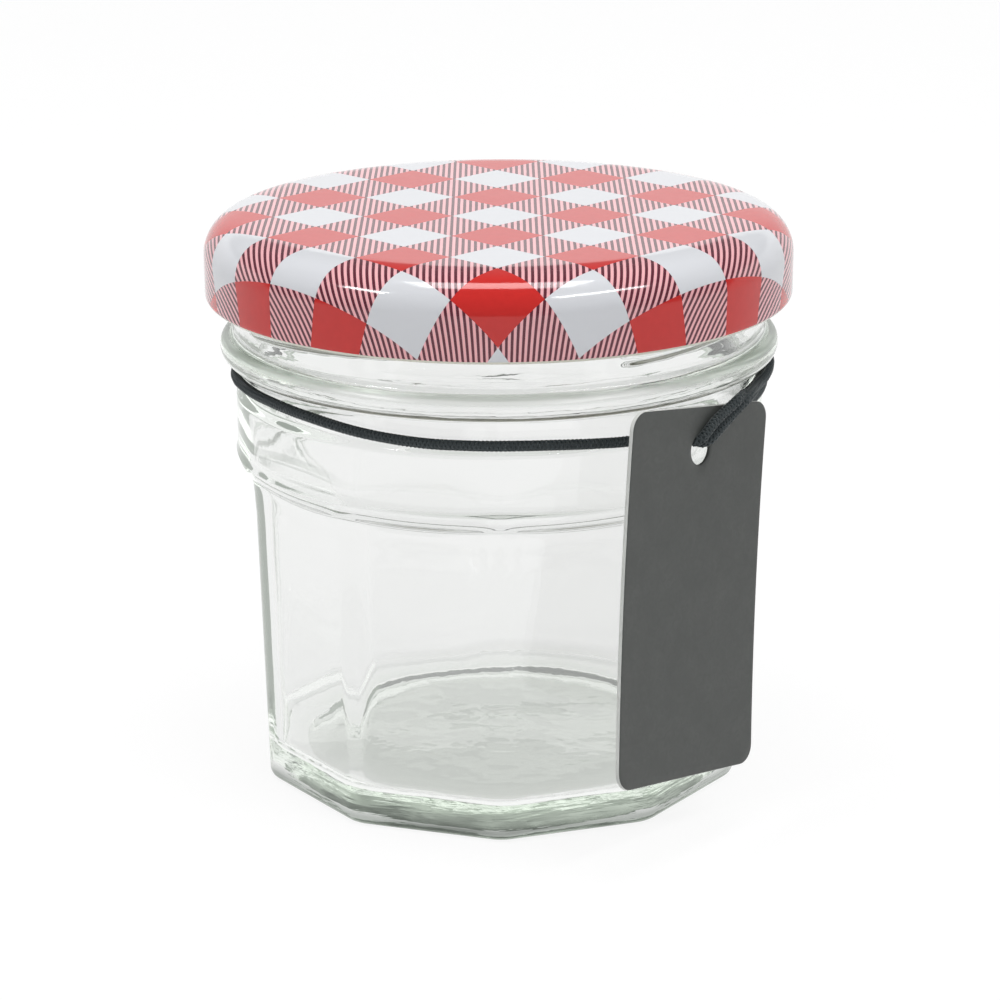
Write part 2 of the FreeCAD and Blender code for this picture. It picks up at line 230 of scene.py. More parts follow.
def grained(name, grain, dark, light, roughness, strength, distance):
    """A finish between two close colours with relief; grain(tree) gives the sockets for both."""
    material, tree, shader = new_material(name)
    mottle, height = grain(tree)
    join(tree, shader, {"Base Color": mix_colour(tree, mottle, dark, light), "Roughness": roughness,
                        "Normal": relief(tree, height, strength, distance)})
    return material


def even_grain(scale, detail):
    """A grain in which one noise serves both the colour and the relief."""
    def grain(tree):
        speckle = noise(tree, object_place(tree), scale, detail)
        return speckle, speckle
    return grain


def new_group(name, inputs, outputs):
    """A shader node group with named sockets; inputs and outputs are (name, kind, default)."""
    group = bpy.data.node_groups.new(name, "ShaderNodeTree")
    for socket_name, kind, default in inputs:
        socket = group.interface.new_socket(name=socket_name, in_out="INPUT", socket_type=kind)
        if default is not None:
            socket.default_value = default
    for socket_name, kind in outputs:
        group.interface.new_socket(name=socket_name, in_out="OUTPUT", socket_type=kind)
    entry = group.nodes.new("NodeGroupInput")
    exit_node = group.nodes.new("NodeGroupOutput")
    return group, entry.outputs, exit_node.inputs


def use_group(tree, group, links):
    """Place a node group in a material and join it up; returns its output sockets."""
    node = tree.nodes.new("ShaderNodeGroup")
    node.node_tree = group
    return join(tree, node, links).outputs


# %% [markdown]
# ## The studio
# Clear glass has no look of its own: it shows what stands round it.  So the studio is a
# plain pale floor that sweeps up into a low wall behind the jar, in a dimmer room.
# The lid's flat top mirrors the pale wall, its rounded edge mirrors the dim room, and the
# rims of the glass pick up both, which is what draws them.  The floor glows white for what
# the eye, a gloss or the glass sees of it, and still takes the shadow of the jar.  For what
# is seen through the glass it glows a little less, which sets the clear walls off from the
# white ground: a choice for the look.  Past the wall's ends the eye would meet the dim room
# as a grey patch, so for the eye alone the room is white too, whatever side it looks from.

# %% Floor and low wall
FLOOR_RADIUS = 1.0
SWEEP_RADIUS = 0.22
WALL_HEIGHT = 0.50
WALL_HALF_SPAN = math.radians(80)
FLOOR_COLUMNS = 96
GLOW_SHARE = 0.85
SEEN_STRENGTH = 1.05
THROUGH_GLASS_STRENGTH = 0.90


def studio_white():
    """Pale floor paint that shows as white and keeps a soft shadow."""
    material, tree, shader = new_material("studio_white")
    join(tree, shader, {"Base Color": (0.85, 0.85, 0.85, 1), "Roughness": 0.9, "Specular IOR Level": 0.1})
    rays = add_node(tree, "ShaderNodeLightPath").outputs
    through = rays["Is Transmission Ray"]
    seen = math_node(tree, "MAXIMUM", rays["Is Camera Ray"], rays["Is Glossy Ray"])
    share = math_node(tree, "MULTIPLY", math_node(tree, "MAXIMUM", seen, through), GLOW_SHARE)
    drop = math_node(tree, "MULTIPLY", through, SEEN_STRENGTH - THROUGH_GLASS_STRENGTH)
    strength = math_node(tree, "SUBTRACT", SEEN_STRENGTH, drop)
    glow = add_node(tree, "ShaderNodeEmission", {"Color": (1, 1, 1, 1), "Strength": strength})
    both = add_node(tree, "ShaderNodeMixShader", {0: share, 1: shader.outputs[0], 2: glow.outputs[0]})
    tree.links.new(both.outputs[0], tree.nodes["Material Output"].inputs["Surface"])
    return material


profile = [(radius, 0.0) for radius in (0.15, 0.3, 0.6, FLOOR_RADIUS)]
profile += arc((FLOOR_RADIUS, SWEEP_RADIUS), SWEEP_RADIUS, -90, 0, 9)[1:]
profile.append((FLOOR_RADIUS + SWEEP_RADIUS, WALL_HEIGHT))
floor_azimuths = np.linspace(0, 2 * math.pi, FLOOR_COLUMNS, endpoint=False)
from_back = np.abs(floor_azimuths - math.pi)
wall_share = 1 - smooth_step(WALL_HALF_SPAN * 0.9, WALL_HALF_SPAN * 1.1, from_back)
floor_grid = np.array([around(floor_azimuths, radius, z * wall_share) for radius, z in profile])
floor_points = [Vector(point) for point in floor_grid.reshape(-1, 3)] + [Vector((0, 0, 0))]
floor_faces = [tuple(reversed(face)) for face in grid_faces(len(profile), FLOOR_COLUMNS)]
floor_faces += [(len(floor_points) - 1, column, (column + 1) % FLOOR_COLUMNS)
                for column in range(FLOOR_COLUMNS)]
floor = make_object("studio_floor", floor_points, floor_faces, [studio_white()])
print("studio floor", len(floor_points), "points, wall", WALL_HEIGHT, "m high")

# %% Room and lamps
ROOM_LEVEL = 0.30
ROOM_SEEN = 1.0
ROOM_COLOUR = (0.97, 0.985, 1.0, 1)
LAMP_TARGET = (0, 0, 0.05)

world = bpy.data.worlds.new("room")
world.use_nodes = True
room = world.node_tree
eye = add_node(room, "ShaderNodeLightPath").outputs["Is Camera Ray"]
level_seen = add_node(room, "ShaderNodeMapRange", {"Value": eye, "To Min": ROOM_LEVEL, "To Max": ROOM_SEEN})
join(room, room.nodes["Background"], {"Strength": level_seen.outputs[0], "Color": ROOM_COLOUR})
bpy.context.scene.world = world


def softbox(name, place, target, width, height, power):
    """A flat lamp that faces a point."""
    data = bpy.data.lights.new(name, "AREA")
    data.shape = "RECTANGLE"
    data.size = width
    data.size_y = height
    data.energy = power
    lamp = bpy.data.objects.new(name, data)
    facing = (Vector(target) - Vector(place)).to_track_quat("-Z", "Y")
    lamp.matrix_world = Matrix.Translation(place) @ facing.to_matrix().to_4x4()
    bpy.context.scene.collection.objects.link(lamp)
    return lamp


def toward(azimuth_deg, elevation_deg, distance):
    """A place in a given direction from the jar."""
    turn, lift = math.radians(azimuth_deg), math.radians(elevation_deg)
    flat = distance * math.cos(lift)
    return (flat * math.sin(turn), -flat * math.cos(turn), distance * math.sin(lift))


softbox("lamp_left", toward(-65, 48, 1.1), LAMP_TARGET, 0.30, 0.08, 2.2)
softbox("lamp_right", toward(49, 50, 1.1), LAMP_TARGET, 0.62, 0.08, 2.8)
softbox("lamp_top", (0.0, 0.0, 1.15), (0, 0.01, 0.05), 0.7, 0.40, 6.5)
print("room level", ROOM_LEVEL)

# %% [markdown]
# ## Clear glass
# Soda-lime glass bends light by about 1.52 and is a little green, but only where light
# travels through a lot of it, as in the base.  That is why its tint is an absorption inside
# the glass.  A moulded surface is never quite flat, so soft noise tilts it slightly.  Where
# the mould's rings meet, above and below the bead, it is faintly matt and carries a faint
# painted shade, and the bead and the thick base carry streaks that run round the jar, left
# as the hot glass cooled.

# %% Masks of the glass
GLASS_BENDING = 1.52
BEAD_MIDDLE = 55.8 * MM
SHOULDER_MIDDLE = 46.0 * MM
MOULD_RINGS = ((56.75 * MM, 0.75 * MM), (54.05 * MM, 0.40 * MM))
RING_ROUGHNESS = 0.28
# painted shade: the mould's rings get a faint grey in their surface colour
RING_PAINTED_SHADE = (0.80, 0.81, 0.79)


def height_mask(tree, z, low, high):
    """1 below low, 0 above high, soft between."""
    return add_node(tree, "ShaderNodeMapRange",
                    {"Value": z, "From Min": low, "From Max": high, "To Min": 1.0, "To Max": 0.0},
                    interpolation_type="SMOOTHSTEP").outputs[0]


def ring_mask(tree, z, middle, half_width):
    """1 at a height, fading to 0 at half a width away."""
    off = math_node(tree, "ABSOLUTE", math_node(tree, "SUBTRACT", z, middle))
    return height_mask(tree, off, half_width * 0.5, half_width)


def streaks(tree, place, lengthwise, scale):
    """Noise drawn out round the jar."""
    stretched = vector_node(tree, "MULTIPLY", {0: place, 1: (lengthwise, lengthwise, 1.0)})
    return noise(tree, stretched, scale, 3.0)


def glass_relief(tree, place, base, bead):
    """Slow waves and fine ripples all over, and streaks in the base and the bead."""
    soft = relief(tree, noise(tree, place, 90.0, 1.0), 0.25, 0.0003)
    fine = relief(tree, noise(tree, place, 420.0, 2.0), 0.08, 0.0001, Normal=soft)
    low_streaks = math_node(tree, "MULTIPLY", streaks(tree, place, 0.12, 900.0), base)
    streaked = relief(tree, low_streaks, 1.0, 0.00016, Normal=fine)
    high_streaks = math_node(tree, "MULTIPLY", streaks(tree, place, 0.10, 700.0), bead)
    return relief(tree, high_streaks, 1.0, 0.00010, Normal=streaked)


# %% [markdown]
# The thick foot is the darkest part of such a jar.  Three painted shades in the surface
# colour stand for that darkness: a faint one on the mould's rings, a faint one under the
# base, and a dark streaked one on the heel.  The heel's painted shade is put only on light
# that comes in from outside, because light on its way out would otherwise draw the far foot
# as a second dark line.  Real glass has no such one-sided colour, so this is a choice for the look.

# %% Painted shade of the foot
# painted shade: a faint grey under the base, and dark to pale streaked greys on the heel
UNDERSIDE_PAINTED_SHADE = (0.80, 0.83, 0.79)
HEEL_SHADE_DARK = (0.055, 0.065, 0.055)
HEEL_SHADE_PALE = (0.24, 0.265, 0.24)


def glass_painted_shade(tree, place, z, ring, bands):
    """Surface colour: white, with painted shade on the rings, the underside and the heel."""
    parts = add_node(tree, "ShaderNodeSeparateXYZ", {0: place}).outputs
    flat_place = add_node(tree, "ShaderNodeCombineXYZ", {0: parts["X"], 1: parts["Y"]}).outputs[0]
    from_axis = add_node(tree, "ShaderNodeVectorMath", {0: flat_place}, operation="LENGTH").outputs["Value"]
    near_edge = add_node(tree, "ShaderNodeMapRange",
                         {"Value": from_axis, "From Min": 27.0 * MM, "From Max": 29.0 * MM}).outputs[0]
    underside = math_node(tree, "MULTIPLY", height_mask(tree, z, 4.4 * MM, 5.4 * MM),
                          height_mask(tree, from_axis, 21.0 * MM, 30.0 * MM))
    backfacing = add_node(tree, "ShaderNodeNewGeometry").outputs["Backfacing"]
    from_outside = math_node(tree, "SUBTRACT", 1.0, backfacing)
    foot = math_node(tree, "MULTIPLY", height_mask(tree, z, 1.2 * MM, 3.2 * MM), near_edge)
    heel = math_node(tree, "MULTIPLY", foot, from_outside)
    # painted shade in the surface colour: faint grey on the rings and under the base, dark streaks on the
    # heel
    tint = mix_colour(tree, ring, (1, 1, 1), RING_PAINTED_SHADE)
    tint = mix_colour(tree, underside, tint, UNDERSIDE_PAINTED_SHADE)
    return mix_colour(tree, heel, tint, mix_colour(tree, bands, HEEL_SHADE_DARK, HEEL_SHADE_PALE))


# %% [markdown]
# A renderer follows only a few mirrorings inside the glass, and light still caught after
# those comes back black.  Here such light is given a tone instead: pale in the shoulder,
# which hides its dark marks, grey in the walls, and darker and streaked in bead and base.
# Only lost light gets it, so what the eye sees straight on is the plain glass.

# %% Tone of lost light
LOST_AFTER = 3.5
WALL_TONE = (0.20, 0.212, 0.20)
SHOULDER_TONE = (0.74, 0.755, 0.735)
BEAD_TONES = ((0.045, 0.050, 0.045), (0.20, 0.212, 0.198))
BASE_TONES = ((0.085, 0.094, 0.085), (0.38, 0.405, 0.375))


def lost_tone(tree, z, base, bands):
    """Emission for light that was mirrored more often than the render follows."""
    shoulder = ring_mask(tree, z, SHOULDER_MIDDLE, 6.0 * MM)
    bead_foot = ring_mask(tree, z, BEAD_MIDDLE, 4.2 * MM)
    tone = WALL_TONE
    for mask, (dark, pale) in ((shoulder, (SHOULDER_TONE, SHOULDER_TONE)), (bead_foot, BEAD_TONES),
                               (base, BASE_TONES)):
        tone = mix_colour(tree, mask, tone, mix_colour(tree, bands, dark, pale))
    mirrorings = add_node(tree, "ShaderNodeLightPath").outputs["Glossy Depth"]
    lost = math_node(tree, "GREATER_THAN", mirrorings, LOST_AFTER)
    return mix_colour(tree, lost, (0, 0, 0), tone)


# %% Clear glass
def clear_glass():
    """Moulded container glass: clear, green in the depth, softly uneven."""
    material, tree, shader = new_material("clear_glass")
    place = object_place(tree)
    z = add_node(tree, "ShaderNodeSeparateXYZ", {0: place}).outputs["Z"]
    base = height_mask(tree, z, 3.0 * MM, 8.0 * MM)
    bead = ring_mask(tree, z, BEAD_MIDDLE, 3.0 * MM)
    rings = [ring_mask(tree, z, middle, half_width) for middle, half_width in MOULD_RINGS]
    ring = math_node(tree, "MAXIMUM", *rings)
    bands = add_node(tree, "ShaderNodeMapRange", {"Value": streaks(tree, place, 0.10, 620.0),
                                                  "From Min": 0.38, "From Max": 0.62}).outputs[0]
    join(tree, shader, {"IOR": GLASS_BENDING, "Transmission Weight": 1.0,
                        "Normal": glass_relief(tree, place, base, bead),
                        "Roughness": math_node(tree, "MULTIPLY", ring, RING_ROUGHNESS),
                        # the surface colour carries the painted shade of the rings, the underside and the
                        # heel
                        "Base Color": glass_painted_shade(tree, place, z, ring, bands),
                        "Emission Color": lost_tone(tree, z, base, bands), "Emission Strength": 1.0})
    depth = add_node(tree, "ShaderNodeVolumeAbsorption", {"Color": (0.74, 0.83, 0.72, 1), "Density": 18.0})
    tree.links.new(depth.outputs[0], tree.nodes["Material Output"].inputs["Volume"])
    return material


GLASS = clear_glass()
print("glass", GLASS.name, "nodes", len(GLASS.node_tree.nodes))

# %% [markdown]
# ## The jar's outline, seen from above
# The body has ten flat sides joined by round corners.  In polar form each side is a
# straight line, and each corner an arc, so one formula gives the distance from the axis
# in any direction.  The same formula serves outside and inside, with other sizes.

# %% Sizes of the glass, in millimetres
SIDES = 10
FACET_DRAFT = 0.025
BASE_CIRCUMRADIUS = 31.1
CORNER_RADIUS = 5.0
HEEL_RADIUS = 1.3
WALL = 2.2
FLOOR = 3.8
FLOOR_CROWN = 0.35
INNER_CORNER_RADIUS = 7.0
INNER_HEEL_RADIUS = 2.0
PUNT_RADIUS = 24.0
PUNT_FLAT_RADIUS = 18.0
PUNT_DEPTH = 0.9
DIMPLE_RADIUS = 4.2
DIMPLE_DEPTH = 0.05
SHOULDER_BLEND_Z = 36.0
LEDGE_Z = 40.4
LEDGE_RADIUS = 31.9
BAND_LOW_Z = 42.4
CREASE_SOFTNESS = 1.4
BAND_RADIUS = 33.05
GROOVE_RADIUS = 32.35
GROOVE_LOW_Z = 50.3
GROOVE_FILLET = 0.55
BEAD_RADIUS = 34.9
BEAD_Z = 55.65
BEAD_HALF_HEIGHT = 1.55
NECK_FOOT_RISE = 0.8
NECK_RADIUS = 33.2
BORE_RADIUS = 30.5
FLARE_LOW_Z = 34.0
FLARE_TOP_Z = 53.0
RIM_ROUNDING = 1.15
RIM_Z = glass_high.z / MM
HALF_SIDE = math.pi / SIDES


def ten_sided(azimuths, circumradius, corner_radius):
    """Distance from the axis to a rounded ten-sided outline, for each azimuth."""
    side = 2 * HALF_SIDE
    off_corner = np.abs((azimuths + HALF_SIDE) % side - HALF_SIDE)
    apothem = circumradius * math.cos(HALF_SIDE)
    flat = apothem / np.cos(HALF_SIDE - off_corner)
    centre = circumradius - corner_radius / math.cos(HALF_SIDE)
    across = np.minimum(np.abs(centre * np.sin(off_corner)), corner_radius)
    rounded = centre * np.cos(off_corner) + np.sqrt(corner_radius ** 2 - across ** 2)
    tangent = math.atan2(corner_radius * math.sin(HALF_SIDE),
                         centre + corner_radius * math.cos(HALF_SIDE))
    return np.where(off_corner < tangent, rounded, flat)


def soft_larger(first, second, softness):
    """The larger of two values, with a rounded change-over."""
    return (first + second + np.sqrt((first - second) ** 2 + softness ** 2)) / 2


steps_off_corner = np.concatenate([np.arange(0, 2.01, 0.25), np.arange(2.6, 17.0, 1.2)])
half_side_steps = np.concatenate([steps_off_corner, [18.0]])
side_steps = np.concatenate([half_side_steps[:-1], 36.0 - half_side_steps[:0:-1]])
AZIMUTHS = np.radians(np.concatenate([side_steps + 36.0 * side for side in range(SIDES)]))
print("columns round the jar", len(AZIMUTHS))


def sides_at(z, inset, corner_radius):
    """The drafted ten-sided outline at a height, its sides moved in by inset."""
    circumradius = BASE_CIRCUMRADIUS + FACET_DRAFT * z - inset / math.cos(HALF_SIDE)
    return ten_sided(AZIMUTHS, circumradius, corner_radius)



# %% [markdown]
# ## Glass thread
# A twist-off lid has small lugs that slide under four short ridges on the neck.  Each
# ridge climbs to the right, as any ordinary thread does, and fades out at both ends.
# The ridges overlap, so that a lug always has one above it and one starting below it.

# %% Glass thread
THREAD_STARTS = 4
THREAD_FIRST_AZIMUTH = 24.0
THREAD_SPAN = 120.0
THREAD_LOW_Z = 60.3
THREAD_RISE = 0.034
THREAD_HEIGHT = 0.95
THREAD_HALF_WIDTH = 0.85
THREAD_FADE_IN = 7.0
THREAD_FADE_OUT = 12.0


def thread_relief(azimuths, z):
    """How far the thread ridges stand out of the neck at a height."""
    relief = np.zeros_like(azimuths)
    degrees = np.degrees(azimuths)
    for start in range(THREAD_STARTS):
        along = (degrees - THREAD_FIRST_AZIMUTH - start * 360 / THREAD_STARTS) % 360
        middle = THREAD_LOW_Z + THREAD_RISE * along
        off = (z - middle) / THREAD_HALF_WIDTH
        crest = np.cos(np.clip(off, -1, 1) * math.pi / 2).clip(0, 1) ** 1.3
        ends = smooth_step(0, THREAD_FADE_IN, along) * smooth_step(0, THREAD_FADE_OUT, THREAD_SPAN - along)
        relief = np.maximum(relief, THREAD_HEIGHT * crest * ends)
    return relief


# %% [markdown]
# ## The jar
# The glass is one closed skin: up the outside, over the rim and down the inside.  Rows of
# points follow that path, close together where the form turns quickly.  Outside, the ten
# sides meet the round shoulder band in a soft crease.  Inside, everything is rounder, and
# slightly uneven, as the hot glass only touched a mould on its outer side.


# %% Rows of the outside
def outside_base():
    """From the middle of the hollow under the base to the heel."""
    rows = []
    for radius in (1.4, 2.6, 3.2, 3.6, 3.9, DIMPLE_RADIUS, 4.5, 4.8, 5.3, 6.2, 9.0, 12.0, 15.0,
                   PUNT_FLAT_RADIUS):
        dimple = DIMPLE_DEPTH * (1 - smooth_step(DIMPLE_RADIUS - 1.0, DIMPLE_RADIUS + 1.0, radius))
        rows.append(around(AZIMUTHS, radius, PUNT_DEPTH + dimple))
    for share in np.linspace(0.15, 1, 8):
        radius = PUNT_FLAT_RADIUS + share * (PUNT_RADIUS - PUNT_FLAT_RADIUS)
        rows.append(around(AZIMUTHS, radius, PUNT_DEPTH * (1 - share ** 2)))
    heel_foot = sides_at(0.0, HEEL_RADIUS, CORNER_RADIUS - HEEL_RADIUS)
    for share in (0.25, 0.5, 0.75):
        rows.append(around(AZIMUTHS, PUNT_RADIUS + share * (heel_foot - PUNT_RADIUS), 0.0))
    for turn in np.radians(np.linspace(0, 90, 9)):
        inset = HEEL_RADIUS * (1 - math.sin(turn))
        outline = sides_at(HEEL_RADIUS, inset, CORNER_RADIUS - inset)
        rows.append(around(AZIMUTHS, outline, HEEL_RADIUS * (1 - math.cos(turn))))
    return rows


def shoulder_radius(z):
    """The round part under and at the foot of the band."""
    if z < LEDGE_Z:
        return LEDGE_RADIUS - 2 * (LEDGE_Z - z)
    return BAND_RADIUS - (BAND_RADIUS - LEDGE_RADIUS) * ((BAND_LOW_Z - z) / (BAND_LOW_Z - LEDGE_Z)) ** 2


def outside_sides():
    """Up the ten sides and through the crease under the band."""
    rows = []
    heights = [2.2, 3.5, 6, 10, 15, 20, 25, 30, 33.5, 35.5, 36.5]
    heights += list(np.arange(37.2, BAND_LOW_Z, 0.2))
    for z in heights:
        facets = sides_at(z, 0.0, CORNER_RADIUS)
        radius = facets
        if z > SHOULDER_BLEND_Z:
            radius = soft_larger(facets, shoulder_radius(z), CREASE_SOFTNESS)
        rows.append(around(AZIMUTHS, radius, z))
    return rows


def turned_profile():
    """(radius, z) of the round parts outside: band, groove, bead and neck."""
    points = [(BAND_RADIUS, z) for z in (BAND_LOW_Z, 44.0, 46.0, 47.8, 48.8)]
    lip_low, lip_top = GROOVE_LOW_Z - 1.0, GROOVE_LOW_Z + 0.45
    for z in np.linspace(lip_low, lip_top, 10):
        drop = smooth_step(lip_low, lip_top, z)
        points.append((BAND_RADIUS - (BAND_RADIUS - GROOVE_RADIUS) * drop, z))
    points += [(GROOVE_RADIUS, z) for z in (51.4, 52.3, 53.0)]
    bead_low = BEAD_Z - BEAD_HALF_HEIGHT
    fillet_middle = (GROOVE_RADIUS + GROOVE_FILLET, bead_low - GROOVE_FILLET)
    points += arc(fillet_middle, GROOVE_FILLET, 180, 95, 6)
    points += arc((BEAD_RADIUS - BEAD_HALF_HEIGHT, BEAD_Z), BEAD_HALF_HEIGHT, -85, 48, 18)
    start = np.array(points[-1])
    leave = start + np.array([-0.55, 0.5])
    neck_foot = np.array([NECK_RADIUS, BEAD_Z + BEAD_HALF_HEIGHT + NECK_FOOT_RISE])
    arrive = neck_foot - np.array([0, 0.9])
    for t in np.linspace(0.14, 1, 7):
        point = ((1 - t) ** 3 * start + 3 * (1 - t) ** 2 * t * leave
                 + 3 * (1 - t) * t ** 2 * arrive + t ** 3 * neck_foot)
        points.append(tuple(point))
    return points


def outside_round():
    """Band, groove, bead, threaded neck and the rim's rounding."""
    rows = [around(AZIMUTHS, radius, z) for radius, z in turned_profile()]
    neck_low = BEAD_Z + BEAD_HALF_HEIGHT + NECK_FOOT_RISE
    for z in np.arange(neck_low + 0.25, RIM_Z - RIM_ROUNDING - 0.2, 0.25):
        rows.append(around(AZIMUTHS, NECK_RADIUS + thread_relief(AZIMUTHS, z), z))
    for radius, z in arc((NECK_RADIUS - RIM_ROUNDING, RIM_Z - RIM_ROUNDING), RIM_ROUNDING, 0, 90, 9):
        rows.append(around(AZIMUTHS, radius, z))
    return rows


# %% Rows of the inside
def unevenness(azimuths, z):
    """Slow waves of the inner skin, in millimetres."""
    waves = 0.05 * np.sin(3 * azimuths + z / 7.0) + 0.04 * np.sin(5 * azimuths - z / 4.5 + 1.0)
    return waves + 0.02 * np.sin(9 * azimuths + z / 2.7 + 2.0)


def inside_wall():
    """Down the bore, out of the shoulder and down the ten inner sides."""
    rows = [around(AZIMUTHS, radius, z) for radius, z in
            arc((BORE_RADIUS + RIM_ROUNDING, RIM_Z - RIM_ROUNDING), RIM_ROUNDING, 90, 180, 9)]
    heights = [*np.arange(67.0, 47.0, -2.0), *np.arange(46.5, 33.5, -1.0), 31, 27, 22, 17, 13, 10.5]
    for z in heights:
        outline = sides_at(z, WALL, INNER_CORNER_RADIUS)
        share = smooth_step(FLARE_LOW_Z, FLARE_TOP_Z, z)
        uneven = unevenness(AZIMUTHS, z) * smooth_step(67, 62, z)
        radius = outline + share * (BORE_RADIUS - outline) + uneven
        rows.append(around(AZIMUTHS, radius, z))
    return rows


def inside_floor():
    """The inner heel and the floor, a little higher in the middle."""
    rows = []
    for turn in np.radians(np.linspace(0, 90, 14)):
        inset = INNER_HEEL_RADIUS * (1 - math.cos(turn))
        z = FLOOR + INNER_HEEL_RADIUS * (1 - math.sin(turn))
        outline = sides_at(z, WALL + inset, INNER_CORNER_RADIUS - inset)
        rows.append(around(AZIMUTHS, outline + unevenness(AZIMUTHS, z) * (1 - inset / 6), z))
    edge = rows[-1]
    for share in (0.94, 0.86, 0.74, 0.6, 0.45, 0.3, 0.15):
        ring = edge.copy()
        ring[:, :2] *= share
        ring[:, 2] = FLOOR + FLOOR_CROWN * (1 - share ** 2) + 0.06 * np.sin(2 * AZIMUTHS + 4 * share)
        rows.append(ring)
    return rows


# %% Build the jar
grid = np.array(outside_base() + outside_sides() + outside_round() + inside_wall() + inside_floor())
points, faces = capped_grid(grid * MM, (0, 0, (PUNT_DEPTH + DIMPLE_DEPTH) * MM),
                            (0, 0, (FLOOR + FLOOR_CROWN) * MM))
jar = make_object("jar_glass", points, faces, [GLASS])
count(jar)

# %% [markdown]
# ## The printed check
# Bands of red cross at right angles, turned by 45 degrees: where two red bands cross the
# print is solid red, where two white ones cross it is white, and in between it is a pink
# half tone under fine dark lines, which all run the same way across the sheet. From a
# distance the pink and the lines read as one middle red. A node group works this out from
# the place on the sheet, so it stays sharp at any size.

# %% Check print group
CHECK_SQUARE = 11.02 * MM
CHECK_LINES = 15.0
CHECK_MIDDLE = (-0.155 * MM, 29.63 * MM)


def check_print():
    """Group with three masks: red squares, half-tone squares, and the lines on those."""
    group, given, result = new_group(
        "check_print",
        [("Sheet", "NodeSocketVector", None), ("Square", "NodeSocketFloat", CHECK_SQUARE),
         ("Middle", "NodeSocketVector", (*CHECK_MIDDLE, 0)), ("Lines", "NodeSocketFloat", CHECK_LINES)],
        [("Solid", "NodeSocketFloat"), ("Half Tone", "NodeSocketFloat"), ("Line", "NodeSocketFloat")])
    shifted = vector_node(group, "SUBTRACT", {0: given["Sheet"], 1: given["Middle"]})
    parts = add_node(group, "ShaderNodeSeparateXYZ", {0: shifted}).outputs
    across = math_node(group, "DIVIDE", parts["X"], given["Square"])
    upward = math_node(group, "DIVIDE", parts["Y"], given["Square"])
    bands = []
    for operation in ("ADD", "SUBTRACT"):
        slanted = math_node(group, operation, across, upward)
        number = math_node(group, "ROUND", slanted)
        bands.append(math_node(group, "FLOORED_MODULO", number, 2.0))
    unlike = math_node(group, "ABSOLUTE", math_node(group, "SUBTRACT", bands[0], bands[1]))
    alike = math_node(group, "SUBTRACT", 1.0, unlike)
    solid = math_node(group, "MULTIPLY", alike, math_node(group, "SUBTRACT", 1.0, bands[0]))
    phase = math_node(group, "FRACT", math_node(group, "MULTIPLY", across, given["Lines"]))
    off_line = math_node(group, "ABSOLUTE", math_node(group, "SUBTRACT", phase, 0.5))
    line = math_node(group, "LESS_THAN", off_line, 0.25)
    lined = math_node(group, "MULTIPLY", unlike, line)
    for name, value in (("Solid", solid), ("Half Tone", unlike), ("Line", lined)):
        group.links.new(value, result[name])
    return group


CHECK_PRINT = check_print()

# %% [markdown]
# ## Lid finishes
# Over white enamel lies the red print, and over both a clear lacquer, which is why the lid
# is so glossy.  Pressed tin is never a perfect mirror: a faint ripple breaks up its
# reflections.  Inside, and where the edge is rolled, the tin has a cream lacquer.


# %% Lid finishes
ENAMEL_WHITE = (0.70, 0.71, 0.74)
HALF_TONE = (0.90, 0.46, 0.49)
LINE_INK = (0.115, 0.020, 0.034)
RED_DARK = (0.56, 0.018, 0.015)
RED_LIGHT = (0.64, 0.024, 0.020)


def lid_enamel():
    """White enamel with the red check under glossy lacquer."""
    material, tree, shader = new_material("lid_enamel_print")
    sheet = add_node(tree, "ShaderNodeUVMap", uv_map="sheet").outputs[0]
    printed = use_group(tree, CHECK_PRINT, {"Sheet": sheet})
    red = mix_colour(tree, noise(tree, sheet, 900.0, 3.0), RED_DARK, RED_LIGHT)
    colour = ENAMEL_WHITE
    for mask, ink in (("Half Tone", HALF_TONE), ("Line", LINE_INK), ("Solid", red)):
        colour = mix_colour(tree, printed[mask], colour, ink)
    peel = noise(tree, object_place(tree), 260.0, 2.0)
    join(tree, shader, {"Base Color": colour, "Roughness": 0.10, "IOR": 1.5,
                        "Normal": relief(tree, peel, 0.10, 0.0002)})
    return material


LID_ENAMEL = lid_enamel()
CREAM_LACQUER = grained("cream_lacquer", even_grain(140.0, 4.0), (0.70, 0.68, 0.58), (0.80, 0.78, 0.68),
                        0.32, 0.15, 0.0002)
print("lid finishes", LID_ENAMEL.name, CREAM_LACQUER.name)

# %% [markdown]
# ## The lid
# The lid is a thin shell: a flat middle, a slow curve, a tight shoulder, an upright skirt
# and an edge rolled inwards into a hollow bead.  Four lugs are pressed in from that roll.
# The profile is worked out as points in one half plane and turned about the axis.  Each
# point also keeps its distance along the metal, which places it on the flat printed sheet.

# %% Lid profile
LID_RADIUS = lid_high.x / MM
LID_TOP_Z = lid_high.z / MM
LID_BOTTOM_Z = lid_low.z / MM
LID_SHEET = 0.3
LID_FLAT_RADIUS = 29.8
LID_SLOPE_RADIUS = 14.0
LID_SLOPE_TURN = 14.0
CURL_RADIUS = 0.8
LUGS = 4
LUG_FIRST_AZIMUTH = 45.0
LUG_WIDTH = 9.0
LUG_REACH = 1.3


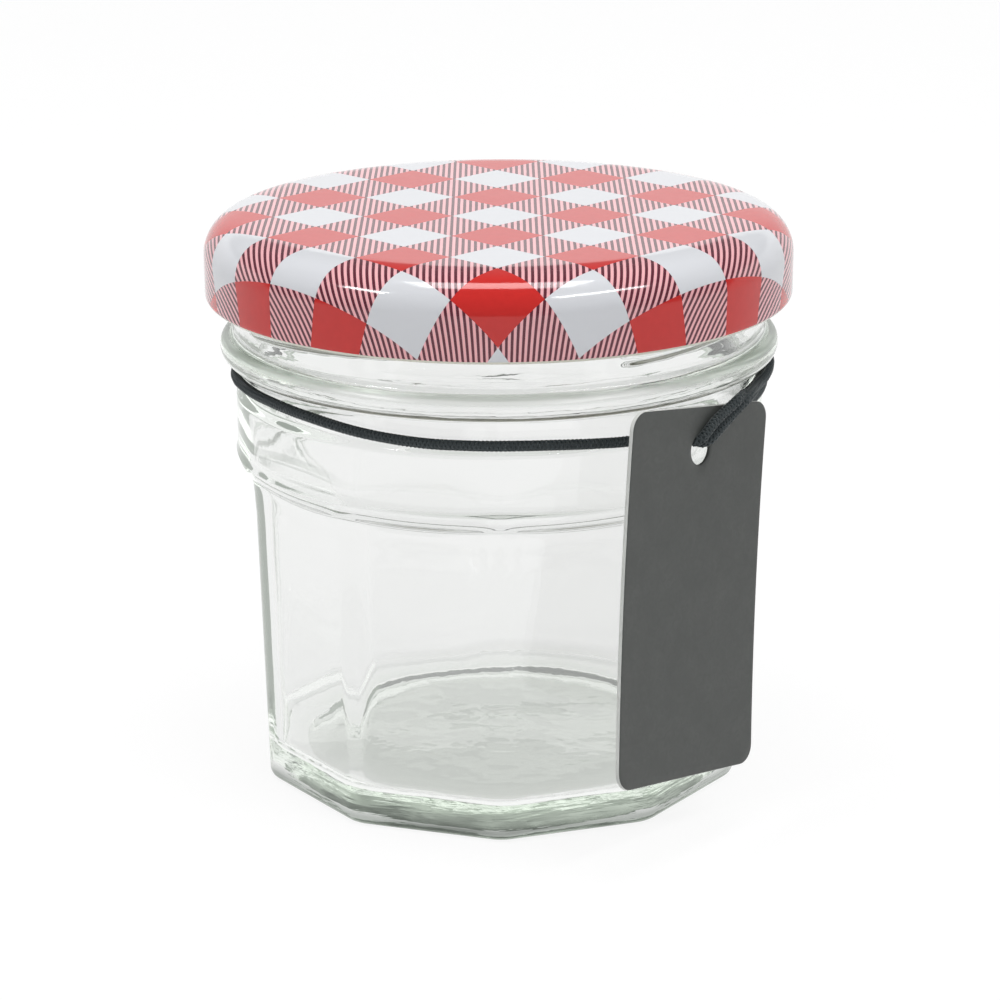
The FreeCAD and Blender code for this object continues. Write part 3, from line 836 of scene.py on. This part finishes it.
def lid_skin(inset, steps):
    """(radius, z) from near the middle of the top to the foot of the skirt."""
    turn = math.radians(LID_SLOPE_TURN)
    slope_middle = (LID_FLAT_RADIUS, LID_TOP_Z - LID_SLOPE_RADIUS)
    slope_reach = LID_FLAT_RADIUS + LID_SLOPE_RADIUS * math.sin(turn)
    shoulder = (LID_RADIUS - slope_reach) / (1 - math.sin(turn))
    gap = LID_SLOPE_RADIUS - shoulder
    shoulder_middle = (slope_middle[0] + gap * math.sin(turn), slope_middle[1] + gap * math.cos(turn))
    points = [(radius, LID_TOP_Z - inset) for radius in (2, 5, 9, 13, 17, 21, 24.5, 27, 28.6)]
    points += arc(slope_middle, LID_SLOPE_RADIUS - inset, 90, 90 - LID_SLOPE_TURN, steps // 2)
    points += arc(shoulder_middle, shoulder - inset, 90 - LID_SLOPE_TURN, 0, steps)[1:]
    foot = LID_BOTTOM_Z + CURL_RADIUS
    top = shoulder_middle[1]
    points += [(LID_RADIUS - inset, top + (foot - top) * share) for share in (0.3, 0.65, 1.0)]
    return points


def lug_share(azimuths):
    """1 in the middle of a lug, 0 between the lugs."""
    pitch = 360 / LUGS
    off = np.abs((np.degrees(azimuths) - LUG_FIRST_AZIMUTH + pitch / 2) % pitch - pitch / 2)
    half = math.degrees(LUG_WIDTH / 2 / (LID_RADIUS - 2 * CURL_RADIUS))
    return 1 - smooth_step(half * 0.72, half * 1.15, off)


lid_azimuths = np.linspace(0, 2 * math.pi, 360, endpoint=False)
outer_skin = lid_skin(0.0, 16)
roll_middle = (LID_RADIUS - CURL_RADIUS, LID_BOTTOM_Z + CURL_RADIUS)
rolled = arc(roll_middle, CURL_RADIUS, 0, -200, 15)[1:]
inner_skin = [point for point in reversed(lid_skin(LID_SHEET, 12)) if point[1] > roll_middle[1] + 0.4]
lid_profile = outer_skin + rolled + inner_skin
rows = []
for radius, z in lid_profile:
    inwards = max(0.0, (roll_middle[0] - radius) / CURL_RADIUS)
    low = 1 - smooth_step(roll_middle[1] + 0.35, roll_middle[1] + 1.0, z)
    reach = LUG_REACH * min(inwards, 1.0) * low if radius > LID_FLAT_RADIUS else 0.0
    rows.append(around(lid_azimuths, radius - reach * lug_share(lid_azimuths), z))
points, faces = capped_grid(np.array(rows)[::-1] * MM, (0, 0, (LID_TOP_Z - LID_SHEET) * MM),
                            (0, 0, LID_TOP_Z * MM))
lid = make_object("lid_shell", points, faces, [LID_ENAMEL, CREAM_LACQUER])
print("lid profile points", len(lid_profile))

# %% [markdown]
# The sheet's own map: a point keeps its direction from the middle.  Pressing moves the metal
# but keeps its area, so the disc that a point bounds on the flat sheet is as large as the
# metal that lies inside it on the lid.  The rolled edge and the inner side get the lacquer.

# %% Lid sheet map
path = np.array([(0.0, LID_TOP_Z)] + lid_profile)
lengths = np.hypot(*np.diff(path, axis=0).T)
middle_radii = (path[1:, 0] + path[:-1, 0]) / 2
sheet_reach = np.sqrt(2 * np.cumsum(lengths * middle_radii)) * MM
columns = len(lid_azimuths)
last_row = len(lid_profile) - 1
sheet_map = lid.data.uv_layers.new(name="sheet")
for loop in lid.data.loops:
    row, column = divmod(loop.vertex_index, columns)
    if loop.vertex_index >= len(lid_profile) * columns:
        sheet_map.data[loop.index].uv = (0, 0)
        continue
    reach = sheet_reach[last_row - row]
    turn = lid_azimuths[column]
    sheet_map.data[loop.index].uv = (reach * math.sin(turn), -reach * math.cos(turn))
printed_rows = len(outer_skin) + 1
for face in lid.data.polygons:
    row = max(vertex // columns for vertex in face.vertices)
    if row < len(lid_profile):
        face.material_index = 0 if last_row - row < printed_rows else 1
    else:
        face.material_index = 0 if face.center.z > (LID_TOP_Z - LID_SHEET / 2) * MM else 1
count(lid)

# %% [markdown]
# ## Sealing compound
# A ring of soft pale compound sits between the lid and the rim.  Its solid is right as it
# is, so it only gets a finish: matte, off-white, with a faint grain.


# %% Sealing compound
SEALING_COMPOUND = grained("sealing_compound", even_grain(600.0, 3.0), (0.62, 0.61, 0.56),
                           (0.72, 0.71, 0.66), 0.7, 0.2, 0.0001)
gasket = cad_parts["lid_gasket"]
gasket.data.materials.clear()
gasket.data.materials.append(SEALING_COMPOUND)
print("gasket finish", SEALING_COMPOUND.name)

# %% [markdown]
# ## Where the card is
# The card hangs in its own plane, so it has its own three directions: across, up and out
# of its face.  Points of the card and of the cord that lies on it are given in those, and
# one helper turns them into places in the frame.  The card is bowed very slightly.

# %% Card directions
CARD_WIDTH = 26.3
CARD_HEIGHT = 44.5
CARD_THICKNESS = 0.5
CARD_CORNER_RADIUS = 2.2
CARD_HOLE_RADIUS = 1.85
CARD_HOLE = (0.25, 17.1)
CARD_BOW_RADIUS = 560.0
CARD_CENTRE = Vector((22.45, -31.0, 32.2))
CARD_FACING = math.radians(50.0)
CARD_LEAN = math.radians(4.6)
CARD_ROLL = math.radians(-9.1)

level = Vector((math.cos(CARD_FACING), math.sin(CARD_FACING), 0))
outward = Vector((math.sin(CARD_FACING), -math.cos(CARD_FACING), 0))
upward = Vector((0, 0, math.cos(CARD_LEAN))) - outward * math.sin(CARD_LEAN)
CARD_ACROSS = level * math.cos(CARD_ROLL) + upward * math.sin(CARD_ROLL)
CARD_UP = upward * math.cos(CARD_ROLL) - level * math.sin(CARD_ROLL)
CARD_OUT = CARD_ACROSS.cross(CARD_UP)


def card_point(across, up, out):
    """A place on the bowed card, in metres."""
    bow = up * up / (2 * CARD_BOW_RADIUS)
    return (CARD_CENTRE + CARD_ACROSS * across + CARD_UP * up + CARD_OUT * (out + bow)) * MM


# %% [markdown]
# ## Card finishes
# The card is pale board printed dark on one side.  Board is never even: fibres show
# as fine mottling and the print is a little thin in places.  Where it is cut, the pale
# core shows as a light line all round.  The punched hole is the exception: its wall is as
# dark as the face.


# %% Board group and card finishes
def board_fibres():
    """Group: mottling and relief of paper board from a place on its sheet."""
    group, given, result = new_group(
        "board_fibres",
        [("Sheet", "NodeSocketVector", None), ("Fibre Scale", "NodeSocketFloat", 900.0)],
        [("Mottle", "NodeSocketFloat"), ("Relief", "NodeSocketFloat")])
    cloud = noise(group, given["Sheet"], 220.0, 5.0)
    fibre = add_node(group, "ShaderNodeTexNoise",
                     {"Vector": given["Sheet"], "Scale": given["Fibre Scale"], "Detail": 4.0,
                      "Distortion": 1.5})
    both = math_node(group, "MULTIPLY", cloud, fibre.outputs["Fac"])
    group.links.new(math_node(group, "MULTIPLY", both, 2.0), result["Mottle"])
    group.links.new(fibre.outputs["Fac"], result["Relief"])
    return group


BOARD_FIBRES = board_fibres()


def board_grain(tree):
    """The board's mottling and relief on the card's own map."""
    sheet = add_node(tree, "ShaderNodeUVMap", uv_map="card_sheet").outputs[0]
    fibres = use_group(tree, BOARD_FIBRES, {"Sheet": sheet})
    return fibres["Mottle"], fibres["Relief"]


FIBRE_DEPTH = 0.00005
CARD_PRINT = grained("card_print", board_grain, (0.068, 0.073, 0.068), (0.094, 0.098, 0.093),
                     0.55, 0.25, FIBRE_DEPTH)
CARD_BACK = grained("card_back", board_grain, (0.66, 0.65, 0.62), (0.78, 0.77, 0.74),
                    0.75, 0.4, FIBRE_DEPTH)
CARD_CORE = grained("card_core", board_grain, (0.55, 0.56, 0.54), (0.70, 0.71, 0.68),
                    0.8, 0.6, FIBRE_DEPTH)
print("card finishes", CARD_PRINT.name, CARD_BACK.name, CARD_CORE.name)

# %% [markdown]
# ## The card
# Seen from its punched hole, every part of the card's outline lies in a clear direction.
# So the card is a grid of rings that grow from the hole to the outline, on the front and
# then on the back, which keeps every face four-sided and lets the whole card bow.  The
# row of a face tells whether it lies on the face, the cut edge, the back or the hole.
# The cut edges are rounded by a few hundredths of a millimetre, as a die leaves them.

# %% Build the card
EDGE_ROUND = 0.07


def card_outline():
    """Points round the card's edge, closer together on its corners."""
    half_width = CARD_WIDTH / 2 - CARD_CORNER_RADIUS
    half_height = CARD_HEIGHT / 2 - CARD_CORNER_RADIUS
    corners = [(half_width, half_height, 0), (-half_width, half_height, 90),
               (-half_width, -half_height, 180), (half_width, -half_height, 270)]
    outline = []
    for index, (x, y, start) in enumerate(corners):
        outline += [np.array(point) for point in arc((x, y), CARD_CORNER_RADIUS, start, start + 90, 9)]
        next_x, next_y, next_start = corners[(index + 1) % 4]
        begin = outline[-1]
        end = np.array(arc((next_x, next_y), CARD_CORNER_RADIUS, next_start, next_start, 1)[0])
        for share in np.linspace(0, 1, 22)[1:-1]:
            outline.append(begin + share * (end - begin))
    return np.array(outline)


def card_ring(share, inset, out):
    """One ring: share 0 is the hole's rim, 1 the outline; inset draws it into the board."""
    outline = card_outline()
    hole = np.array(CARD_HOLE)
    direction = outline - hole
    distance = np.hypot(*direction.T)[:, None]
    unit = direction / distance
    inner = CARD_HOLE_RADIUS + inset
    outer = distance - inset
    return [(*(hole + unit[i] * (inner + share * (outer[i] - inner))), out) for i in range(len(outline))]


half = CARD_THICKNESS / 2
shares = [0, 0.04, 0.1, 0.18, 0.28, 0.38, 0.48, 0.58, 0.68, 0.78, 0.86, 0.93, 0.97, 1]
rings = [card_ring(share, EDGE_ROUND, half) for share in shares]
rings += [card_ring(1, 0.0, half - EDGE_ROUND), card_ring(1, 0.0, EDGE_ROUND - half)]
rings += [card_ring(share, EDGE_ROUND, -half) for share in reversed(shares)]
rings += [card_ring(0, 0.0, EDGE_ROUND - half), card_ring(0, 0.0, half - EDGE_ROUND)]
columns = len(rings[0])
flat_points = [point for ring in rings for point in ring]
faces = [tuple(reversed(face)) for face in grid_faces(len(rings), columns, closed_rows=True)]
card = make_object("tag_card", [card_point(*point) for point in flat_points], faces,
                   [CARD_PRINT, CARD_BACK, CARD_CORE])
card_map = card.data.uv_layers.new(name="card_sheet")
for loop in card.data.loops:
    across, up, out = flat_points[loop.vertex_index]
    card_map.data[loop.index].uv = ((across + 3 * out) * MM, up * MM)
edge_row = len(shares) - 1
back_row = edge_row + 3
hole_row = back_row + len(shares) - 1
for face in card.data.polygons:
    row = face.index // columns
    if row < edge_row or row >= hole_row:
        face.material_index = 0
    elif row < back_row:
        face.material_index = 2
    else:
        face.material_index = 1
count(card)

# %% [markdown]
# ## Braided elastic
# The cord is a rubber core in a braid of eight yarns: four wind one way and four the
# other, passing over and under each other in turn.  A braid follows a rule, so Geometry
# Nodes make it: the cord's line is copied once for each yarn, each copy is wound round the
# line, its distance from the line swings in and out once every two crossings, and a small
# round section turns it into a solid yarn.

# %% Cord finish
CORD_DIAMETER = 1.4

ELASTIC_YARN = grained("elastic_yarn", even_grain(5200.0, 2.0), (0.013, 0.020, 0.021),
                       (0.048, 0.062, 0.068), 0.62, 0.5, 0.00003)
join(ELASTIC_YARN.node_tree, ELASTIC_YARN.node_tree.nodes["Principled BSDF"],
     {"Sheen Weight": 0.25, "Sheen Roughness": 0.4})
print("cord", CORD_DIAMETER, "mm thick")

# %% Braid tree
YARNS = 8
YARN_DIAMETER = 0.34
BRAID_PITCH = 2.0
BRAID_SWING = 0.045
BRAID_STEP = 0.17


def round_solid(tree, curve, corners, radius):
    """A curve given a round section."""
    section = add_node(tree, "GeometryNodeCurvePrimitiveCircle", {"Resolution": corners, "Radius": radius})
    return add_node(tree, "GeometryNodeCurveToMesh",
                    {"Curve": curve, "Profile Curve": section.outputs[0], "Fill Caps": True}).outputs[0]


def braid_tree():
    """Geometry Nodes: a line in, a braid of yarns with a core out."""
    tree = bpy.data.node_groups.new("braided_cord", "GeometryNodeTree")
    face = tree.interface
    face.new_socket(name="Line", in_out="INPUT", socket_type="NodeSocketGeometry")
    sizes = (("Cord Diameter", CORD_DIAMETER * MM), ("Yarn Diameter", YARN_DIAMETER * MM),
             ("Pitch", BRAID_PITCH * MM), ("Swing", BRAID_SWING * MM), ("Step", BRAID_STEP * MM))
    for name, default in sizes:
        socket = face.new_socket(name=name, in_out="INPUT", socket_type="NodeSocketFloat")
        socket.default_value = default
    socket = face.new_socket(name="Yarns", in_out="INPUT", socket_type="NodeSocketInt")
    socket.default_value = YARNS
    face.new_socket(name="Finish", in_out="INPUT", socket_type="NodeSocketMaterial")
    face.new_socket(name="Cord", in_out="OUTPUT", socket_type="NodeSocketGeometry")
    given = tree.nodes.new("NodeGroupInput").outputs
    result = tree.nodes.new("NodeGroupOutput").inputs

    line = add_node(tree, "GeometryNodeResampleCurve", {"Curve": given["Line"], "Length": given["Step"]},
                    mode="LENGTH").outputs[0]
    distance = add_node(tree, "GeometryNodeSplineParameter").outputs["Length"]
    kept = add_node(tree, "GeometryNodeStoreNamedAttribute",
                    {"Geometry": line, "Name": "along", "Value": distance},
                    data_type="FLOAT", domain="POINT").outputs[0]
    copies = add_node(tree, "GeometryNodeDuplicateElements", {"Geometry": kept, "Amount": given["Yarns"]},
                      domain="SPLINE").outputs
    yarn = copies["Duplicate Index"]
    along = add_node(tree, "GeometryNodeInputNamedAttribute", {"Name": "along"},
                     data_type="FLOAT").outputs["Attribute"]
    odd = math_node(tree, "FLOORED_MODULO", yarn, 2.0)
    way = math_node(tree, "SUBTRACT", 1.0, math_node(tree, "MULTIPLY", odd, 2.0))
    turns = math_node(tree, "DIVIDE", along, given["Pitch"])
    start = math_node(tree, "DIVIDE", math_node(tree, "FLOOR", math_node(tree, "DIVIDE", yarn, 2.0)),
                      math_node(tree, "DIVIDE", given["Yarns"], 2.0))
    wound = math_node(tree, "ADD", math_node(tree, "MULTIPLY", turns, way), start)
    angle = math_node(tree, "MULTIPLY", wound, 2 * math.pi)
    swing_angle = math_node(tree, "MULTIPLY", angle, math_node(tree, "DIVIDE", given["Yarns"], 2.0))
    swing = math_node(tree, "MULTIPLY", math_node(tree, "COSINE", swing_angle), way)
    swing = math_node(tree, "MULTIPLY", swing, given["Swing"])
    room = math_node(tree, "SUBTRACT", given["Cord Diameter"], given["Yarn Diameter"])
    radius = math_node(tree, "SUBTRACT", math_node(tree, "MULTIPLY", room, 0.5), given["Swing"])
    radius = math_node(tree, "ADD", radius, swing)

    normal = add_node(tree, "GeometryNodeInputNormal").outputs[0]
    tangent = add_node(tree, "GeometryNodeInputTangent").outputs[0]
    side = vector_node(tree, "CROSS_PRODUCT", {0: tangent, 1: normal})
    ahead = math_node(tree, "MULTIPLY", radius, math_node(tree, "COSINE", angle))
    beside = math_node(tree, "MULTIPLY", radius, math_node(tree, "SINE", angle))
    offset = vector_node(tree, "ADD", {0: vector_node(tree, "SCALE", {0: normal, "Scale": ahead}),
                                       1: vector_node(tree, "SCALE", {0: side, "Scale": beside})})
    yarns = add_node(tree, "GeometryNodeSetPosition",
                     {"Geometry": copies["Geometry"], "Offset": offset}).outputs[0]
    solid = round_solid(tree, yarns, 5, math_node(tree, "MULTIPLY", given["Yarn Diameter"], 0.5))
    long_step = math_node(tree, "MULTIPLY", given["Step"], 3.0)
    coarse = add_node(tree, "GeometryNodeResampleCurve", {"Curve": given["Line"], "Length": long_step},
                      mode="LENGTH").outputs[0]
    core = round_solid(tree, coarse, 8, math_node(tree, "MULTIPLY", room, 0.46))
    joined = tree.nodes.new("GeometryNodeJoinGeometry")
    tree.links.new(core, joined.inputs[0])
    tree.links.new(solid, joined.inputs[0])
    real = add_node(tree, "GeometryNodeRealizeInstances", {0: joined.outputs[0]}).outputs[0]
    smooth = add_node(tree, "GeometryNodeSetShadeSmooth", {0: real}).outputs[0]
    painted = add_node(tree, "GeometryNodeSetMaterial", {"Geometry": smooth, "Material": given["Finish"]})
    tree.links.new(painted.outputs[0], result["Cord"])
    return tree


BRAID = braid_tree()


def braid(name, line):
    """Run the braid tree on a curve and keep the result as a plain mesh piece."""
    modifier = line.modifiers.new("braid", "NODES")
    modifier.node_group = BRAID
    for item in BRAID.interface.items_tree:
        if item.name == "Finish":
            modifier[item.identifier] = ELASTIC_YARN
    graph = bpy.context.evaluated_depsgraph_get()
    mesh = bpy.data.meshes.new_from_object(line.evaluated_get(graph))
    mesh.name = name
    bpy.data.objects.remove(line)
    piece = bpy.data.objects.new(name, mesh)
    bpy.context.scene.collection.objects.link(piece)
    return piece


# %% [markdown]
# ## The cord's route
# One loop lies in the groove under the bead.  It isn't level: it rides up at the left and
# sags towards the card.  From a knot on the far right side two strands follow the groove
# back, leave it, pass over the card's top edge and down its face, and go through the hole
# to a second knot behind the card.  The strands lie one over the other, and cross on the
# way.  A strand's line is a soft spline near given points.  No simulation pushes the
# cords apart, so they press into each other a little along the groove, and well into each
# other where they cross.

# %% Sizes and course of the cord
CORD_CLEARANCE = 0.02
CORD_SEAT = GROOVE_RADIUS + CORD_DIAMETER / 2 + CORD_CLEARANCE
# (azimuth in degrees, height) of the loop, all the way round
LOOP_COURSE = ((-180, 51.4), (-110, 51.4), (-85, 51.7), (-70, 52.2), (-56, 52.4), (-42, 52.1), (-30, 51.5),
               (-16, 51.05), (8, 51.0), (18, 50.75), (27, 50.4), (45, 50.4), (75, 50.6), (118, 50.75),
               (180, 51.4))
NECK_KNOT_AZIMUTH = 118.0
NECK_KNOT_Z = 51.7
NECK_KNOT_TILT = 28.0
TAG_KNOT_CORE = 0.95
KNOT_TURN_RADIUS = 1.2
TAG_KNOT_OFFSET = (-0.3, 2.7)
# (azimuth in degrees, height) of the inner strand along the groove
STRAND_COURSE = ((118, 52.6), (107, 52.3), (96, 52.1), (86, 51.9), (76, 51.75), (67, 51.7))
# each strand's steps outward and up from that course, its (across, up, lift) points on the
# card, and its (across, up) place in the hole
STRANDS = {"inner": ((0.0, 0.0), ((6.2, 23.3, 0.45), (4.2, 21.8, 0.0), (1.4, 20.3, 0.0)), (-0.75, 0.95)),
           "outer": ((0.9, 0.85), ((7.9, 23.3, 0.45), (5.7, 21.5, 0.0), (3.0, 19.7, 0.0)), (0.75, 0.75))}


# %% Cord lines
def polar(azimuth_deg, radius, z):
    """A place round the jar, in metres."""
    turn = math.radians(azimuth_deg)
    return Vector((radius * math.sin(turn), -radius * math.cos(turn), z)) * MM


def line_object(name, points, cyclic):
    """A smooth curve without thickness through or near the given points."""
    data = bpy.data.curves.new(name, "CURVE")
    data.dimensions = "3D"
    data.resolution_u = 12
    spline = data.splines.new("NURBS")
    spline.points.add(len(points) - 1)
    for target, point in zip(spline.points, points):
        target.co = (*point, 1)
    spline.order_u = 3
    spline.use_cyclic_u = cyclic
    spline.use_endpoint_u = not cyclic
    line = bpy.data.objects.new(name, data)
    bpy.context.scene.collection.objects.link(line)
    return line


def strand_points(name):
    """Control points of one strand, from the neck's knot to the tag's knot."""
    (outward_step, upward_step), on_card, (across, up) = STRANDS[name]
    on_face = (CARD_THICKNESS + CORD_DIAMETER) / 2 + CORD_CLEARANCE
    behind = -CARD_THICKNESS / 2 - TAG_KNOT_CORE - CORD_CLEARANCE
    points = [polar(azimuth, CORD_SEAT + outward_step, height + upward_step)
              for azimuth, height in STRAND_COURSE]
    points += [card_point(x, y, on_face + lift) for x, y, lift in on_card]
    hole_x, hole_y = CARD_HOLE
    points.append(card_point(hole_x + across, hole_y + up, on_face * 0.6))
    points.append(card_point(hole_x + across * 0.8, hole_y + up, behind))
    points.append(card_point(hole_x + TAG_KNOT_OFFSET[0] + across, hole_y + TAG_KNOT_OFFSET[1] + up, behind))
    return points


def ring_points(centre, axis, radius, number):
    """Control points of a ring round an axis; radius in metres."""
    axis = axis.normalized()
    first = axis.orthogonal().normalized()
    second = axis.cross(first)
    reach = radius / math.cos(math.pi / number) ** 0.5
    turns = [2 * math.pi * index / number for index in range(number)]
    return [centre + (first * math.cos(turn) + second * math.sin(turn)) * reach for turn in turns]


loop_azimuths = np.arange(-180, 180, 5)
loop_heights = np.interp(loop_azimuths, *zip(*LOOP_COURSE))
loop_points = [polar(azimuth, CORD_SEAT, height) for azimuth, height in zip(loop_azimuths, loop_heights)]
neck_loop = braid("cord_neck_loop", line_object("loop_line", loop_points, True))
strands = [braid("cord_strand_" + name, line_object("strand_line", strand_points(name), False))
           for name in STRANDS]
for piece in [neck_loop] + strands:
    count(piece)

# %% [markdown]
# ## Knots
# Each knot is one or two tight turns of the same cord, and is braided by the same tree.
# The strands end inside the turns, so no loose end shows.


# %% Knots
def turn_of_cord(name, centre, axis):
    """One tight closed turn of cord about an axis."""
    turn = ring_points(centre, axis, KNOT_TURN_RADIUS * MM, 12)
    return braid(name, line_object("turn_line", turn, True))


neck_knot_radius = GROOVE_RADIUS + KNOT_TURN_RADIUS + CORD_DIAMETER / 2 + 2 * CORD_CLEARANCE
neck_knot_centre = polar(NECK_KNOT_AZIMUTH, neck_knot_radius, NECK_KNOT_Z)
along_neck = polar(NECK_KNOT_AZIMUTH + 90, 1 / MM, 0).normalized()
tilt_angle = math.radians(NECK_KNOT_TILT)
knots = []
for name, sign in (("a", 1), ("b", -1)):
    axis = along_neck * math.cos(tilt_angle) + Vector((0, 0, sign * math.sin(tilt_angle)))
    knots.append(turn_of_cord("cord_neck_knot_" + name, neck_knot_centre, axis))
tag_knot_centre = card_point(CARD_HOLE[0] + TAG_KNOT_OFFSET[0], CARD_HOLE[1] + TAG_KNOT_OFFSET[1],
                             -CARD_THICKNESS / 2 - TAG_KNOT_CORE - CORD_CLEARANCE)
knots.append(turn_of_cord("cord_tag_knot", tag_knot_centre, CARD_OUT))
print("knots", [knot.name for knot in knots])

# %% [markdown]
# ## Hand the pieces to the frame
# Every piece rides on the one body.  The finely made glass, lid, cord and card stand for
# their plainer solids, which are hidden.

# %% Ride and replace
for piece, node, slot in ((jar, "glass_jar", "clear_glass"), (lid, "lid", "lid_enamel"),
                          (card, "hang_tag", "tag_card")):
    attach(piece, "root")
    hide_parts(node)
for piece in [neck_loop] + strands + knots:
    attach(piece, "root")
    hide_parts("neck_string")
